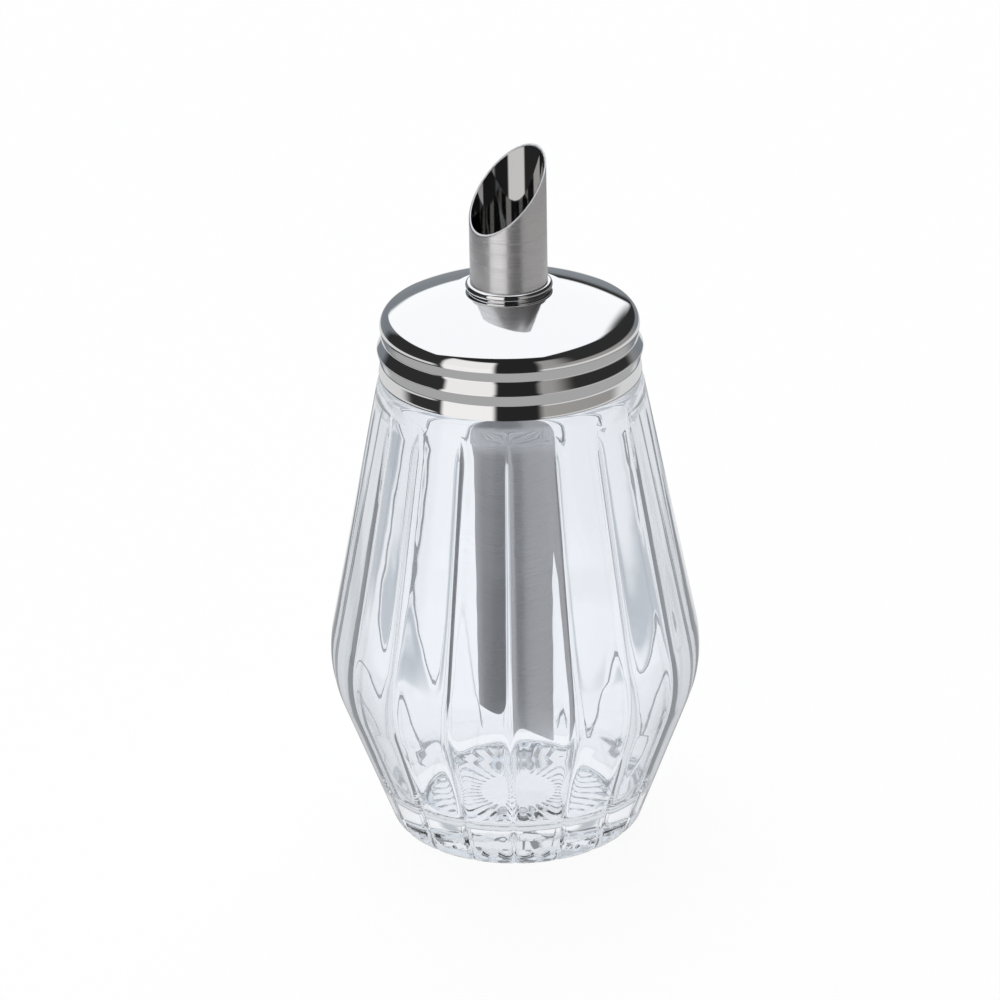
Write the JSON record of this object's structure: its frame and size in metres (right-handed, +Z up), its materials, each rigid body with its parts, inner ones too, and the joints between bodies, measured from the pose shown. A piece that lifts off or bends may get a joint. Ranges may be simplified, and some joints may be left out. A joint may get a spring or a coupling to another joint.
{
  "type": "sugar dispenser",
  "caption": "Sugar dispenser: lobed pear-shaped glass jar, domed steel screw lid and mitred dosing tube with a gravity flap inside.",
  "frame": {"origin": "on the table, under the jar's centre line", "axes": "+Z up through the jar and the tube, -Y towards the camera of the reference picture; the spout's long side points 40 degrees from +X towards +Y"},
  "size_m": [0.0832, 0.083, 0.1599],
  "materials": {
    "glass": "clear pressed glass",
    "seal": "translucent white polyethylene",
    "polished_steel": "mirror-polished stainless steel sheet",
    "satin_steel": "drawn stainless steel tube, lightly brushed round its axis",
    "washer": "matt black rubber",
    "spring_steel": "plain spring steel",
    "flap_steel": "plain stainless steel sheet"
  },
  "bodies": {
    "jar": {"jar": "glass"},
    "seal": {"sealing_ring": "seal"},
    "washer": {"tube_washer": "washer"},
    "lid": {"lid": "polished_steel", "dosing_tube": "satin_steel", "spout_collar": "satin_steel", "lock_ring": "spring_steel", "flap_pin": "spring_steel"},
    "flap": {"flap": "flap_steel"}
  },
  "joints": [
    {"name": "lid_lift", "type": "slide", "parent": "jar", "child": "seal", "axis": [0, 0, 1], "range_m": [0, 0.115]},
    {"name": "lid_rise", "type": "slide", "parent": "seal", "child": "washer", "axis": [0, 0, 1], "range_m": [0, 0.006]},
    {"name": "lid_turn", "type": "hinge", "parent": "washer", "child": "lid", "pos_m": [0, 0, 0.12], "axis": [0, 0, 1], "range_deg": [0, 540]},
    {"name": "flap_swing", "type": "hinge", "parent": "lid", "child": "flap", "pos_m": [0.00115, 0.00096, 0.11881], "axis": [-0.6428, 0.766, 0], "range_deg": [0, 60]}
  ],
  "couplings": [
    {"joint": "lid_rise", "follows": "lid_turn", "m_per_rad": 0.00063662}
  ]
}
